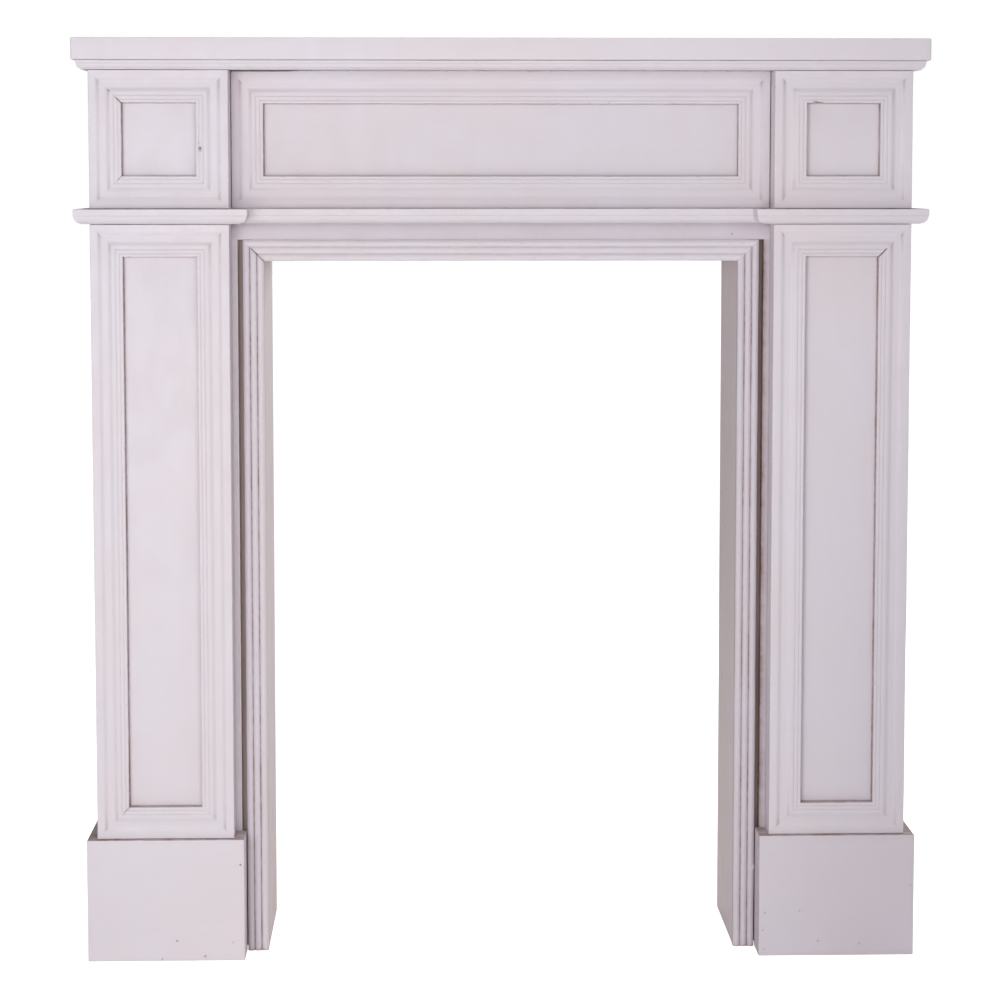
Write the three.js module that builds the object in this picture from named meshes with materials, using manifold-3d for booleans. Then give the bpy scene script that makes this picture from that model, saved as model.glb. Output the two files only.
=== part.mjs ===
// Painted timber fire surround: two panelled legs on plinths, a panelled frieze
// between corner blocks, a moulded shelf, and a reeded architrave round the opening.
// Millimetres, +Z up, front towards -Y, the wall towards +Y.
// The origin is at floor level, midway across the width and the depth.

import * as THREE from 'three';
import { mergeVertices } from 'three/addons/utils/BufferGeometryUtils.js';
import Module from 'manifold-3d';

const manifoldKit = await Module();
manifoldKit.setup();

// Fire opening
const openingWidth = 652;
const openingHeight = 965;

// Reeded architrave round the opening
const reedCount = 3;
const reedWidth = 9.67;
const reedRelief = 3;
const architraveThickness = 14;
const architraveProud = 6;

// Fascia that shows between the architrave and the centre band
const fasciaReveal = 22;

// Open channel between the architrave and the leg board, and the strip of board beside it
const channelWidth = 7;
const stripWidth = 8;

// Legs
const pilasterWidth = 188;
const pilasterProjection = 44;
const plinthHeight = 170;
const plinthSideLedge = 14;
const plinthFrontLedge = 7;

// Corner blocks, frieze and shelf
const blockHeight = 187;
const shelfThickness = 30;
const shelfDepth = 262;
const shelfFrontOverhang = 22;
const shelfSideOverhang = 20;
const shelfEdgeRadius = 2;

// Bed moulding under the shelf, and the open joint under it
const bedHeight = 11.3;
const bedWidth = 36;
const bedSetBack = 5.5;
const bedUndercut = 5.5;
const bedFillet = 3.2;
const bedOpenJoint = 1.2;

// Cap moulding between the pilasters and the corner blocks, and across the centre
const capHeight = 20.5;
const capOuterProjection = 20;
const capInnerProjection = 25.5;
const bandProjection = 22;
const capFascia = 9.2;
const capUndercut = 9.6;
const capStep = 0.8;

// Mitred frame moulding round every panel
const frameWidth = 44;
const frameThickness = 11;
const frameFillet = 9.5;
const coveFloorStart = 17;
const coveFloorEnd = 22.5;
const coveEnd = 30;
const coveDepth = 2.6;
const grooveDepth = 0.7;
const grooveHalfWidth = 0.7;
const outerGroove = 34;
const innerGroove = 39.6;

// Flat panels planted behind the frames
const panelThickness = 9;
const panelLap = 12;

// Plain boards
const boardThickness = 20;
const sideThickness = 18;
const liningThickness = 18;
const plinthBoardThickness = 18;
const backboardThickness = 18;
const battenWidth = 36;
const battenThickness = 20;

// Fit, and the fineness of curves
const joint = 0.3;
const arris = 1;
const curveSteps = 5;
const reedSteps = 10;

// How far a cut runs past what it cuts, and how near two corners count as one
const cutMargin = 1;
const weldDistance = 1e-4;

// Places across the width, measured from the centre line
const openingHalf = openingWidth / 2;
const architraveWidth = reedCount * reedWidth;
const architraveOuter = openingHalf + architraveWidth;
const liningOuter = openingHalf + liningThickness;
const stripInner = architraveOuter + channelWidth;
const pilasterInner = stripInner + stripWidth;
const pilasterOuter = pilasterInner + pilasterWidth;
const plinthInner = pilasterInner - plinthSideLedge;
const plinthOuter = pilasterOuter + plinthSideLedge;
const capInner = pilasterInner - capInnerProjection;
const capOuter = pilasterOuter + capOuterProjection;
const shelfHalf = pilasterOuter + shelfSideOverhang;
const sideInner = pilasterOuter - sideThickness;
const bedOuter = shelfHalf - bedSetBack;
const bedInner = bedOuter - bedWidth;

// Places through the depth
const wall = shelfDepth / 2;
const shelfFront = wall - shelfDepth;
const face = shelfFront + shelfFrontOverhang;
const frameBack = face + frameThickness;
const plinthFront = face - plinthFrontLedge;
const boardFront = face + pilasterProjection;
const boardBack = boardFront + boardThickness;
const capFront = shelfFront;
const bandFront = boardFront - bandProjection;
const bandBack = boardFront - joint;
const bedFront = shelfFront + bedSetBack;
const architraveFront = boardFront - architraveProud;
const architraveBack = architraveFront + architraveThickness;
const friezePanelBack = boardFront + frameThickness + joint + panelThickness;

// Levels
const architraveTop = openingHeight + architraveWidth;
const capBottom = architraveTop + fasciaReveal;
const pilasterHeight = capBottom - plinthHeight;
const capTop = capBottom + capHeight;
const blockTop = capTop + blockHeight;
const bedBottom = blockTop + bedOpenJoint;
const shelfBottom = bedBottom + bedHeight;
const shelfTop = shelfBottom + shelfThickness;

// Each of two mitred ends stands back from the mitre line by half the joint, measured along its run
const mitreGap = joint * Math.SQRT1_2;

const surround = new THREE.Group();

// Paint and bare timber

function paintedTimber() {
  return new THREE.MeshStandardMaterial({ color: 0xdfd8dd, roughness: 0.55, metalness: 0 });
}

function shadedTimber() {
  return new THREE.MeshStandardMaterial({ color: 0xc9bcbc, roughness: 0.6, metalness: 0 });
}

function bareTimber() {
  return new THREE.MeshStandardMaterial({ color: 0xb89a74, roughness: 0.8, metalness: 0 });
}

// Solids

function addPiece(name, geometry, material, parent = surround) {
  const piece = new THREE.Mesh(geometry, material);
  piece.name = name;
  parent.add(piece);
  return piece;
}

// A square-edged board between its low corner and its high corner
function addBoard(name, low, high, material) {
  const size = high.map((value, axis) => value - low[axis]);
  const board = addPiece(name, new THREE.BoxGeometry(...size), material);
  board.position.set((low[0] + high[0]) / 2, (low[1] + high[1]) / 2, (low[2] + high[2]) / 2);
  return board;
}

// The same board on the left (side -1) or on the right (side 1), from distances off the centre line
function addSideBoard(name, side, inner, outer, front, back, bottom, top, material) {
  const across = [side * inner, side * outer].sort((a, b) => a - b);
  return addBoard(name, [across[0], front, bottom], [across[1], back, top], material);
}

function outline(points) {
  return new THREE.Shape(points.map(([x, y]) => new THREE.Vector2(x, y)));
}

// Points on a quarter ellipse from one corner of a box to the other, bulging outwards
function quarterRound(startX, startY, endX, endY) {
  const points = [];
  for (let step = 0; step <= curveSteps; step += 1) {
    const turn = (step / curveSteps) * (Math.PI / 2);
    const x = startX + (endX - startX) * (1 - Math.cos(turn));
    points.push([x, startY + (endY - startY) * Math.sin(turn)]);
  }
  return points;
}

// A section swept along x. Each end runs inwards by its slope times the distance across the section,
// so a slope of 1 is a 45 degree mitre. The section is [distance from the outer edge, depth] and
// becomes [z, y].
function mitredLength(section, length, startSlope, endSlope) {
  const geometry = new THREE.ExtrudeGeometry(outline(section), { depth: 1, bevelEnabled: false });
  const place = geometry.attributes.position;
  const halfLength = (length - joint) / 2;
  for (let index = 0; index < place.count; index += 1) {
    const across = place.getX(index);
    const atStart = place.getZ(index) === 0;
    place.setZ(index, atStart ? startSlope * across - halfLength : halfLength - endSlope * across);
  }
  const axes = new THREE.Matrix4().makeBasis(
    new THREE.Vector3(0, 0, 1),
    new THREE.Vector3(0, 1, 0),
    new THREE.Vector3(-1, 0, 0),
  );
  geometry.applyMatrix4(axes);
  return geometry;
}

function toManifold(geometry) {
  const bare = geometry.clone();
  bare.deleteAttribute('normal');
  bare.deleteAttribute('uv');
  const merged = mergeVertices(bare, weldDistance);
  return new manifoldKit.Manifold(new manifoldKit.Mesh({
    numProp: 3,
    vertProperties: new Float32Array(merged.attributes.position.array),
    triVerts: new Uint32Array(merged.index.array),
  }));
}

function fromManifold(solid) {
  const mesh = solid.getMesh();
  const geometry = new THREE.BufferGeometry();
  geometry.setAttribute('position', new THREE.BufferAttribute(new Float32Array(mesh.vertProperties), 3));
  geometry.setIndex(new THREE.BufferAttribute(new Uint32Array(mesh.triVerts), 1));
  return geometry;
}

// A horizontal moulding: its section, swept past both ends of its plan, is cut to the plan.
// A section is [place across the run, z]. A run along x has y across it, and a run along y has x.
function mouldingRun(section, plan, runsAlongX) {
  const alongs = plan.map(([x, y]) => (runsAlongX ? x : y));
  const start = Math.min(...alongs) - cutMargin;
  const length = Math.max(...alongs) + cutMargin - start;
  const bar = new THREE.ExtrudeGeometry(outline(section), { depth: length, bevelEnabled: false });
  const axes = new THREE.Matrix4();
  if (runsAlongX) {
    axes.makeBasis(new THREE.Vector3(0, 1, 0), new THREE.Vector3(0, 0, 1), new THREE.Vector3(1, 0, 0));
    axes.setPosition(start, 0, 0);
  } else {
    axes.makeBasis(new THREE.Vector3(1, 0, 0), new THREE.Vector3(0, 0, 1), new THREE.Vector3(0, -1, 0));
    axes.setPosition(0, start + length, 0);
  }
  bar.applyMatrix4(axes);
  const levels = section.map(([, z]) => z);
  const bottom = Math.min(...levels) - cutMargin;
  const height = Math.max(...levels) + cutMargin - bottom;
  const cutter = new THREE.ExtrudeGeometry(outline(plan), { depth: height, bevelEnabled: false });
  cutter.translate(0, 0, bottom);
  return fromManifold(toManifold(bar).intersect(toManifold(cutter)));
}

// Mitred frame with its flat panel

// Depth of the broad shallow cove, eased in and out between the outer fillet and the inner beads
function coveSide(start, end, startDepth, endDepth) {
  const points = [];
  for (let step = 0; step <= curveSteps; step += 1) {
    const share = step / curveSteps;
    const ease = (1 - Math.cos(Math.PI * share)) / 2;
    points.push([start + (end - start) * share, startDepth + (endDepth - startDepth) * ease]);
  }
  return points;
}

function groove(centre) {
  return [[centre - grooveHalfWidth, 0], [centre, grooveDepth], [centre + grooveHalfWidth, 0]];
}

// Section of the frame moulding: [distance in from the outer edge, depth behind the face]
function frameSection() {
  return [
    [0, arris],
    [arris, 0],
    ...coveSide(frameFillet, coveFloorStart, 0, coveDepth),
    ...coveSide(coveFloorEnd, coveEnd, coveDepth, 0),
    ...groove(outerGroove),
    ...groove(innerGroove),
    [frameWidth - arris, 0],
    [frameWidth, arris],
    [frameWidth, frameThickness],
    [0, frameThickness],
  ];
}

// The four members are one moulding, turned a quarter at a time about the middle of the frame
function addPanelledFrame(prefix, memberNames, centreX, front, bottom, width, height) {
  const frame = new THREE.Group();
  frame.position.set(centreX, front, bottom + height / 2);
  surround.add(frame);
  const section = frameSection();
  memberNames.forEach((memberName, quarter) => {
    const lies = quarter % 2 === 0;
    const length = lies ? width : height;
    const reach = (lies ? height : width) / 2;
    const member = addPiece(
      `${prefix}_${memberName}`, mitredLength(section, length, 1, 1), paintedTimber(), frame,
    );
    const turn = -quarter * (Math.PI / 2);
    member.rotation.y = turn;
    member.position.set(-Math.sin(turn) * reach, 0, -Math.cos(turn) * reach);
  });
  const panelWidth = width - 2 * (frameWidth - panelLap);
  const panelHeight = height - 2 * (frameWidth - panelLap);
  const panel = addPiece(
    `${prefix}_panel`, new THREE.BoxGeometry(panelWidth, panelThickness, panelHeight), paintedTimber(), frame,
  );
  panel.position.y = frameThickness + joint + panelThickness / 2;
}

function addFrames() {
  for (const [side, sideName] of [[-1, 'left'], [1, 'right']]) {
    // Going round from the bottom, the quarter turns reach the right-hand, top and left-hand members
    const members = side < 0
      ? ['bottom_rail', 'inner_stile', 'top_rail', 'outer_stile']
      : ['bottom_rail', 'outer_stile', 'top_rail', 'inner_stile'];
    const centre = side * (pilasterInner + pilasterOuter) / 2;
    addPanelledFrame(
      `${sideName}_pilaster`, members, centre, face,
      plinthHeight + joint, pilasterWidth, pilasterHeight - 2 * joint,
    );
    addPanelledFrame(
      `${sideName}_block`, members, centre, face, capTop + joint, pilasterWidth, blockHeight - joint,
    );
  }
  addPanelledFrame(
    'frieze', ['bottom_rail', 'right_stile', 'top_rail', 'left_stile'], 0, boardFront,
    capTop + joint, 2 * (pilasterInner - joint), blockHeight - joint,
  );
}

// Cap moulding

// Section of the cap from its face inwards: a flat fascia, a small step and an ovolo undercut
function capSection(depth, facePlace, inwards) {
  const bottom = capBottom + joint;
  const top = capTop;
  const stepLevel = top - capFascia;
  const points = [
    [depth, top],
    [arris, top],
    [0, top - arris],
    [0, stepLevel],
    [capStep, stepLevel - capStep],
    ...quarterRound(capStep, stepLevel - capStep, capUndercut, bottom + capStep).slice(1),
    [capUndercut, bottom],
    [depth, bottom],
  ];
  return points.map(([inside, level]) => [facePlace + inwards * inside, level]);
}

function addCaps() {
  for (const [side, sideName] of [[-1, 'left'], [1, 'right']]) {
    const across = (points) => points.map(([x, y]) => [side * x, y]);
    const outerSeat = pilasterOuter + joint;
    const innerSeat = pilasterInner - joint;
    const outerMitreEnd = capFront + (capOuter - pilasterOuter);
    const innerMitreEnd = capFront + (pilasterInner - capInner);
    addPiece(
      `${sideName}_cap_front`,
      mouldingRun(
        capSection(frameBack - joint - capFront, capFront, 1),
        across([
          [capInner + mitreGap, capFront],
          [capOuter - mitreGap, capFront],
          [pilasterOuter, outerMitreEnd - mitreGap],
          [pilasterOuter, frameBack - joint],
          [pilasterInner, frameBack - joint],
          [pilasterInner, innerMitreEnd - mitreGap],
        ]),
        true,
      ),
      paintedTimber(),
    );
    addPiece(
      `${sideName}_cap_outer_return`,
      mouldingRun(
        capSection(capOuter - outerSeat, side * capOuter, -side),
        across([
          [capOuter, capFront + mitreGap],
          [capOuter, wall],
          [outerSeat, wall],
          [outerSeat, capFront + capOuter - outerSeat + mitreGap],
        ]),
        false,
      ),
      paintedTimber(),
    );
    addPiece(
      `${sideName}_cap_inner_return`,
      mouldingRun(
        capSection(innerSeat - capInner, side * capInner, side),
        across([
          [capInner, capFront + mitreGap],
          [innerSeat, capFront + innerSeat - capInner + mitreGap],
          [innerSeat, bandBack],
          [capInner + bandBack - bandFront + mitreGap, bandBack],
          [capInner, bandFront - mitreGap],
        ]),
        false,
      ),
      paintedTimber(),
    );
  }
  addPiece(
    'centre_band',
    mouldingRun(
      capSection(bandBack - bandFront, bandFront, 1),
      [
        [-capInner + mitreGap, bandFront],
        [capInner - mitreGap, bandFront],
        [capInner + bandBack - bandFront - mitreGap, bandBack],
        [-capInner - bandBack + bandFront + mitreGap, bandBack],
      ],
      true,
    ),
    paintedTimber(),
  );
}

// Shelf and bed moulding

function addShelf() {
  const low = shelfBottom;
  const radius = shelfEdgeRadius;
  const shape = new THREE.Shape();
  shape.moveTo(wall, low);
  shape.lineTo(wall, shelfTop);
  shape.lineTo(shelfFront + radius, shelfTop);
  shape.absarc(shelfFront + radius, shelfTop - radius, radius, Math.PI / 2, Math.PI, false);
  shape.lineTo(shelfFront, low + radius);
  shape.absarc(shelfFront + radius, low + radius, radius, Math.PI, 1.5 * Math.PI, false);
  const slab = new THREE.ExtrudeGeometry(
    shape, { depth: 2 * shelfHalf, bevelEnabled: false, curveSegments: curveSteps },
  );
  const axes = new THREE.Matrix4().makeBasis(
    new THREE.Vector3(0, 1, 0),
    new THREE.Vector3(0, 0, 1),
    new THREE.Vector3(1, 0, 0),
  );
  slab.applyMatrix4(axes);
  const shelf = addPiece('mantel_shelf', slab, paintedTimber());
  shelf.position.x = -shelfHalf;
}

// Section of the bed moulding from its face inwards: a fillet over an ovolo
function bedSection(facePlace, inwards) {
  const top = shelfBottom - joint;
  const filletLevel = top - bedFillet;
  const points = [
    [bedWidth, top],
    [0, top],
    [0, filletLevel],
    [capStep, filletLevel - capStep],
    ...quarterRound(capStep, filletLevel - capStep, bedUndercut, bedBottom).slice(1),
    [bedWidth, bedBottom],
  ];
  return points.map(([inside, level]) => [facePlace + inwards * inside, level]);
}

function addBedMoulding() {
  const bedBack = bedFront + bedWidth;
  addPiece(
    'bed_moulding_front',
    mouldingRun(
      bedSection(bedFront, 1),
      [
        [-bedOuter + mitreGap, bedFront],
        [bedOuter - mitreGap, bedFront],
        [bedInner - mitreGap, bedBack],
        [-bedInner + mitreGap, bedBack],
      ],
      true,
    ),
    paintedTimber(),
  );
  for (const [side, sideName] of [[-1, 'left'], [1, 'right']]) {
    addPiece(
      `bed_moulding_${sideName}`,
      mouldingRun(
        bedSection(side * bedOuter, -side),
        [
          [side * bedOuter, bedFront + mitreGap],
          [side * bedOuter, wall],
          [side * bedInner, wall],
          [side * bedInner, bedBack + mitreGap],
        ],
        false,
      ),
      paintedTimber(),
    );
  }
}

// Reeded architrave and linings of the opening

// Section of the architrave: round reeds side by side, [distance from the outer edge, depth]
function architraveSection() {
  const points = [[0, reedRelief]];
  for (let reed = 0; reed < reedCount; reed += 1) {
    for (let step = 1; step <= reedSteps; step += 1) {
      const share = step / reedSteps;
      points.push([(reed + share) * reedWidth, reedRelief * (1 - Math.sin(Math.PI * share))]);
    }
  }
  points.push([architraveWidth, architraveThickness]);
  points.push([0, architraveThickness]);
  return points;
}

function addArchitrave() {
  const section = architraveSection();
  const head = addPiece(
    'architrave_head', mitredLength(section, 2 * architraveOuter, 1, 1), paintedTimber(),
  );
  head.rotation.y = Math.PI;
  head.position.set(0, architraveFront, architraveTop - joint);
  const legLength = architraveTop - joint;
  const left = addPiece('architrave_left', mitredLength(section, legLength, 0, 1), paintedTimber());
  left.rotation.y = Math.PI / 2;
  left.position.set(-architraveOuter, architraveFront, legLength / 2 - joint / 2);
  const right = addPiece('architrave_right', mitredLength(section, legLength, 1, 0), paintedTimber());
  right.rotation.y = -Math.PI / 2;
  right.position.set(architraveOuter, architraveFront, legLength / 2 - joint / 2);
}

function addLinings() {
  const front = architraveBack + joint;
  for (const [side, sideName] of [[-1, 'left'], [1, 'right']]) {
    addSideBoard(
      `${sideName}_jamb_lining`, side, openingHalf, liningOuter, front, wall, 0, openingHeight - joint,
      shadedTimber(),
    );
  }
  addBoard(
    'head_lining', [-liningOuter, front, openingHeight], [liningOuter, wall, openingHeight + liningThickness],
    shadedTimber(),
  );
}

// Boards of the legs, the plinths and the back

function addLegBoards() {
  for (const [side, sideName] of [[-1, 'left'], [1, 'right']]) {
    addSideBoard(
      `${sideName}_leg_board`, side, stripInner, sideInner - joint, boardFront, boardBack,
      0, architraveTop - joint, shadedTimber(),
    );
    addSideBoard(
      `${sideName}_outer_side`, side, sideInner, pilasterOuter, frameBack + joint, wall,
      plinthHeight + joint, bedBottom - joint, paintedTimber(),
    );
    addSideBoard(
      `${sideName}_inner_side`, side, pilasterInner, pilasterInner + sideThickness,
      frameBack + joint, boardFront - joint, plinthHeight + joint, bedBottom - joint, paintedTimber(),
    );
    addSideBoard(
      `${sideName}_leg_batten`, side, liningOuter + joint, liningOuter + joint + battenWidth,
      boardBack + joint, boardBack + joint + battenThickness, 0, architraveTop - joint, bareTimber(),
    );
  }
}

function addPlinths() {
  const sideFront = plinthFront + plinthBoardThickness + joint;
  for (const [side, sideName] of [[-1, 'left'], [1, 'right']]) {
    addSideBoard(
      `${sideName}_plinth_front`, side, plinthInner, plinthOuter, plinthFront,
      plinthFront + plinthBoardThickness, 0, plinthHeight, paintedTimber(),
    );
    addSideBoard(
      `${sideName}_plinth_outer_side`, side, plinthOuter - plinthBoardThickness, plinthOuter, sideFront, wall,
      0, plinthHeight, paintedTimber(),
    );
    addSideBoard(
      `${sideName}_plinth_inner_side`, side, plinthInner, plinthInner + plinthBoardThickness, sideFront,
      boardFront - joint, 0, plinthHeight, paintedTimber(),
    );
  }
}

function addHeadBoards() {
  const fasciaReach = sideInner - joint;
  addBoard(
    'fascia_board', [-fasciaReach, boardFront, architraveTop], [fasciaReach, boardBack, capTop],
    shadedTimber(),
  );
  // The backboard goes up to the shelf, so it ends between the returns of the bed moulding
  const backboardReach = Math.min(sideInner, bedInner) - joint;
  const backboardFront = friezePanelBack + joint;
  addBoard(
    'frieze_backboard', [-backboardReach, backboardFront, capTop + joint],
    [backboardReach, backboardFront + backboardThickness, shelfBottom - joint], bareTimber(),
  );
}

addShelf();
addBedMoulding();
addFrames();
addCaps();
addArchitrave();
addLinings();
addLegBoards();
addPlinths();
addHeadBoards();

export default surround;
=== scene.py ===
# %% [markdown]
# A painted timber mantelpiece, made up in Blender.
# The real one is joiner's work: lengths of moulding cut to mitres, flat panels behind them, and
# plain boards. The imported model gives every piece its place and size, and this lesson dresses each
# one: softened edges, open mitres, nail holes, and old brushed paint with brown in its hollows, and
# painted shade in hollows, corners and where the light falls off.

# %% Load the imported model
import math
from functools import partial

import bpy
import numpy as np
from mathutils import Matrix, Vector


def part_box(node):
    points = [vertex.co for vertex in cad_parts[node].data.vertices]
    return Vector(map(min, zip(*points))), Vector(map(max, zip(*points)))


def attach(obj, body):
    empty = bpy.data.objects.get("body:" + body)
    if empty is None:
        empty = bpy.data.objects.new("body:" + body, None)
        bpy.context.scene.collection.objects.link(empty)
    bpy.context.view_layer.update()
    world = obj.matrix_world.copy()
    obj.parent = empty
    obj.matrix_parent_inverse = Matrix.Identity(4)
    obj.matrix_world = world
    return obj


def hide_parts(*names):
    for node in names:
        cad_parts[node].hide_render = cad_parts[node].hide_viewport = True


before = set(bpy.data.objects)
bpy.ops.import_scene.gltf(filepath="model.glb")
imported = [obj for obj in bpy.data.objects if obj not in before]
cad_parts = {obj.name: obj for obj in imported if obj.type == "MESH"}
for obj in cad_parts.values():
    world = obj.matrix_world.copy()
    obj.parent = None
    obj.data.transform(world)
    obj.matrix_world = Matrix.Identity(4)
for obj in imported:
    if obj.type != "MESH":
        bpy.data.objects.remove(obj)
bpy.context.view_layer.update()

# %% [markdown]
# Sizes are easier to read in millimetres, as on a joiner's rod, so all shapes are worked out in
# millimetres and turned into metres only when a mesh is made. A place always comes from the box of
# the CAD node that the piece stands for, which keeps the dressed piece where the model says.

# %% Millimetres and places
MM = 0.001


def corners(*nodes):
    """The lowest and the highest corner round these CAD nodes together, in millimetres."""
    lows, highs = zip(*(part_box(node) for node in nodes))
    return np.min(np.array(lows), axis=0) / MM, np.max(np.array(highs), axis=0) / MM


def bump_at(value, centre, width):
    """A soft hill: 1 at the centre, falling as exp(-(distance / width) squared)."""
    return np.exp(-(((value - centre) / width) ** 2))


def smooth(value, start, end):
    """0 up to start, 1 from end, and an eased slope between: 3 s squared - 2 s cubed."""
    s = np.clip((value - start) / (end - start), 0, 1)
    return s * s * (3 - 2 * s)


print("shelf from", *(place.round(1) for place in corners("mantel_shelf")))

# %% [markdown]
# A finished piece is a closed skin of points and faces. Besides its shape it carries marks, numbers
# kept at its points for the paint to read: how much brown lies in its hollows together with painted
# shade in hollows, corners and under overhangs (crevice), how worn an edge is (worn), where
# the timber was never painted (bare), how much grey painted shade lies where the light falls off and
# in shadowed places, and on bare timber how much dusty primer covers it (dull), and a place
# along and across the piece (run), so that brush marks follow each length. Marks could also be
# painted as pictures, but numbers at points stay sharp in every view and need no image.

# %% Turn points into a piece
painted = []
SHARP = math.radians(36)
MARKS = ("crevice", "worn", "bare", "dull")


def enclosed(points, quads, lids):
    """The volume inside the skin: a sixth of the sum, over its triangles, of a . (b x c)."""
    triangles = [quads[:, [0, 1, 2]], quads[:, [0, 2, 3]]]
    for lid in lids:
        fan = np.stack([np.full(len(lid) - 2, lid[0]), lid[1:-1], lid[2:]], axis=1)
        triangles.append(fan)
    a, b, c = points[np.concatenate(triangles)].transpose(1, 0, 2)
    return float(np.einsum("ij,ij->i", a, np.cross(b, c)).sum() / 6)


def painted_falloff(points):
    """Grey painted shade where the light falls off: the deepest grey * (eased step to the right) * (1 - the
    share taken off higher up * eased step upwards).
    """
    deepest_shade, faded = 0.42, 0.72
    return deepest_shade * smooth(points[:, 0], 265, 560) * (1 - faded * smooth(points[:, 2], 200, 1150))


def spread(given, shape):
    """What a rule for marks gave, at every point; a mark that it doesn't name is 0."""
    return {mark: np.broadcast_to(given.get(mark, 0.0), shape).reshape(-1) for mark in MARKS}


def make_piece(node, points, quads, lids, marks, slot="painted_timber"):
    """One closed piece that stands for a CAD node, with faces outwards and its marks at its points."""
    # every piece takes grey painted shade where the light falls off, towards the right and low down
    marks["dull"] = marks["dull"] + painted_falloff(points)
    if enclosed(points, quads, lids) < 0:
        quads = quads[:, ::-1]
        lids = [lid[::-1] for lid in lids]
    mesh = bpy.data.meshes.new(node + "_finished")
    mesh.from_pydata((points * MM).tolist(), [], quads.tolist() + [lid.tolist() for lid in lids])
    for mark in MARKS:
        layer = mesh.attributes.new(mark, "FLOAT", "POINT")
        layer.data.foreach_set("value", np.clip(marks[mark], 0, 1).astype(np.float32).ravel())
    layer = mesh.attributes.new("run", "FLOAT_VECTOR", "POINT")
    layer.data.foreach_set("vector", (marks["run"] * MM).astype(np.float32).ravel())
    mesh.shade_smooth()
    mesh.set_sharp_from_angle(angle=SHARP)
    mesh.validate()
    piece = bpy.data.objects.new(node + "_finished", mesh)
    bpy.context.scene.collection.objects.link(piece)
    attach(piece, "root")
    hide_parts(node)
    painted.append((piece, slot))


# %% [markdown]
# Most of the mantelpiece is moulding: one section, planed along its whole length, then cut at the
# ends. A modeller could extrude it, but a grid of stations along the length and points round the
# section gives the same shape as one array, and lets each end follow its mitre: the place where a
# line of the moulding starts is a function of how far in from the face edge that line lies.

# %% Moulding run
STATION = 10.0
NEAR_END = np.array([0.0, 0.15, 0.45, 1.0, 2.2, 4.5])


def stations(length, extra=()):
    """Shares of the length from 0 to 1: close together at both ends, about STATION apart between."""
    count = max(2, int(round((length - 2 * NEAR_END[-1]) / STATION)) + 1)
    middle = np.linspace(NEAR_END[-1], length - NEAR_END[-1], count)
    places = np.concatenate([NEAR_END, middle, length - NEAR_END, np.asarray(extra, float)])
    return np.unique(places.round(3)) / length


def wander(places, length, seed, reach):
    """A hand-planed line's slow drift inwards: three sine waves less their reach, faded at the ends."""
    drift = np.random.default_rng(seed)
    waves = np.array([210.0, 83.0, 37.0])
    sizes = np.array([0.55, 0.3, 0.15]) * reach
    phases = drift.uniform(0, 2 * np.pi, 3)
    fade = np.clip(np.minimum(places, length - places) / 25, 0, 1)
    angle = 2 * np.pi * places[..., None] / waves + phases
    return ((np.sin(angle) * sizes).sum(-1) - reach) * fade


FACE_DEPTH = 8


def moulding(node, section, origin, axes, length, start, end, marks, drift=0.12, extra=(), flaws=(),
             lift=None):
    """A section carried along a straight line.

    The section is [inside, level] in millimetres, and axes are three directions: along the length,
    inwards from the edge, and the way that level grows. Point (i, j) lies at origin
    + along * (start_j + share_i * (end_j - start_j)) + inwards * inside_j + level direction * level_j.
    A flaw is (x, z, width, depth): the face sinks by depth * exp(-(distance / width) to the fourth),
    and a depth below zero is a lump of filler. A lift raises the skin where it says. Marks is a rule
    that gets inside, level, place, the first and last place of each line, and the points.
    """
    along, inwards, up = (np.asarray(axis, float) for axis in axes)
    inside, level = section[:, 0], section[:, 1]
    share = stations(length, extra)[:, None]
    first = np.asarray(start(inside), float)
    last = np.asarray(end(inside), float)
    place = first + share * (last - first)
    seed = sum(map(ord, node))
    shift = wander(place, length, seed, drift)
    plain = np.asarray(origin, float) + place[..., None] * along + inside[:, None] * inwards
    hollows = [depth * np.exp(-((np.hypot(plain[..., 0] - x, plain[..., 2] - z) / width) ** 4))
               for x, z, width, depth in flaws]
    sink = sum(hollows, np.zeros_like(place)) * (level < FACE_DEPTH)
    if lift is not None:
        sink = sink - lift(inside, plain)
    turned = np.roll(section, -1, axis=0) - np.roll(section, 1, axis=0)
    turned /= np.linalg.norm(turned, axis=1)[:, None]
    side = 1 if np.cross(turned[:-1], turned[1:]).sum() > 0 else -1
    outward = np.stack([turned[:, 1], -turned[:, 0]], axis=1) * side
    a = inside + (shift - sink) * outward[:, 0]
    b = level + (shift - sink) * outward[:, 1]
    points = (np.asarray(origin, float) + place[..., None] * along
              + a[..., None] * inwards + b[..., None] * up)
    rows, columns = place.shape
    i, j = np.meshgrid(np.arange(rows - 1), np.arange(columns), indexing="ij")
    after = (j + 1) % columns
    quads = np.stack([i * columns + j, i * columns + after,
                      (i + 1) * columns + after, (i + 1) * columns + j], axis=-1).reshape(-1, 4)
    lids = [np.arange(columns)[::-1], np.arange(columns) + (rows - 1) * columns]
    across = np.concatenate([[0], np.cumsum(np.linalg.norm(np.diff(section, axis=0), axis=1))])
    run = np.stack(np.broadcast_arrays(place, across, float(seed % 97) * 13), axis=-1)
    made = spread(marks(inside, level, place, first, last, points), place.shape)
    made["run"] = run.reshape(-1, 3)
    make_piece(node, points.reshape(-1, 3), quads, lids, made)


def square(place):
    """An end cut square: every line of the moulding stops at the same place."""
    return lambda inside: np.full_like(inside, place)


print("stations on a metre of moulding:", len(stations(1000.0)))

# %% [markdown]
# The rest is plain boards. A real edge is never quite sharp: plane, sandpaper and coats of paint
# round it. A box with a Bevel modifier would do, but nail holes need points of their own, so a board
# is a grid of lines on all six faces, pushed out to a ball's radius from a smaller box inside it.

# %% Board with softened edges
BOARD_STEP = 14.0
EDGE_SHARES = np.array([0.0, 0.3, 0.62, 1.0])


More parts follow.
